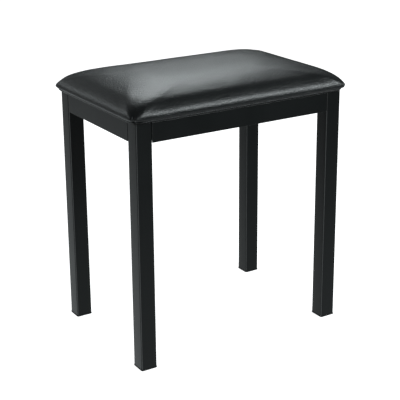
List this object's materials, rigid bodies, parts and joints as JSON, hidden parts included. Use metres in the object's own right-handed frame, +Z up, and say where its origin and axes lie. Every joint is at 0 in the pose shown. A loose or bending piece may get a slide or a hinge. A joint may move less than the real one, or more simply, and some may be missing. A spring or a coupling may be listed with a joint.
{
  "type": "piano bench",
  "caption": "Piano bench with a padded vinyl seat on a bolted steel frame and four straight square legs.",
  "frame": {"origin": "on the floor under the centre of the bench", "axes": "+Z up, +X along the long side of the seat to the player's right, +Y towards the piano"},
  "size_m": [0.442, 0.3, 0.49],
  "materials": {
    "vinyl": "semi-gloss black vinyl with a fine pebble grain",
    "foam": "open-cell upholstery foam",
    "plywood": "raw plywood",
    "dust_felt": "thin black non-woven cloth",
    "powder_coat": "satin black powder coat",
    "bracket_coat": "satin black powder coat",
    "foot_plastic": "matt black moulded plastic",
    "plug_plastic": "matt black moulded plastic",
    "zinc": "bright zinc plate",
    "black_steel": "black zinc plate"
  },
  "bodies": {
    "root": {"seat_cover": "vinyl", "seat_foam": "foam", "seat_board": "plywood", "dust_cover": "dust_felt", "front_rail": "powder_coat", "back_rail": "powder_coat", "left_rail": "powder_coat", "right_rail": "powder_coat", "leg_front_left": "powder_coat", "foot_cap_front_left": "foot_plastic", "top_plug_front_left": "plug_plastic", "corner_bracket_front_left": "bracket_coat", "leg_bolt_front_left_side": "zinc", "leg_washer_front_left_side": "zinc", "rivet_nut_front_left_side": "zinc", "leg_bolt_front_left_end": "zinc", "leg_washer_front_left_end": "zinc", "rivet_nut_front_left_end": "zinc", "seat_bolt_front_left": "black_steel", "tee_nut_front_left": "zinc", "leg_front_right": "powder_coat", "foot_cap_front_right": "foot_plastic", "top_plug_front_right": "plug_plastic", "corner_bracket_front_right": "bracket_coat", "leg_bolt_front_right_side": "zinc", "leg_washer_front_right_side": "zinc", "rivet_nut_front_right_side": "zinc", "leg_bolt_front_right_end": "zinc", "leg_washer_front_right_end": "zinc", "rivet_nut_front_right_end": "zinc", "seat_bolt_front_right": "black_steel", "tee_nut_front_right": "zinc", "leg_back_left": "powder_coat", "foot_cap_back_left": "foot_plastic", "top_plug_back_left": "plug_plastic", "corner_bracket_back_left": "bracket_coat", "leg_bolt_back_left_side": "zinc", "leg_washer_back_left_side": "zinc", "rivet_nut_back_left_side": "zinc", "leg_bolt_back_left_end": "zinc", "leg_washer_back_left_end": "zinc", "rivet_nut_back_left_end": "zinc", "seat_bolt_back_left": "black_steel", "tee_nut_back_left": "zinc", "leg_back_right": "powder_coat", "foot_cap_back_right": "foot_plastic", "top_plug_back_right": "plug_plastic", "corner_bracket_back_right": "bracket_coat", "leg_bolt_back_right_side": "zinc", "leg_washer_back_right_side": "zinc", "rivet_nut_back_right_side": "zinc", "leg_bolt_back_right_end": "zinc", "leg_washer_back_right_end": "zinc", "rivet_nut_back_right_end": "zinc", "seat_bolt_back_right": "black_steel", "tee_nut_back_right": "zinc"}
  },
  "joints": []
}
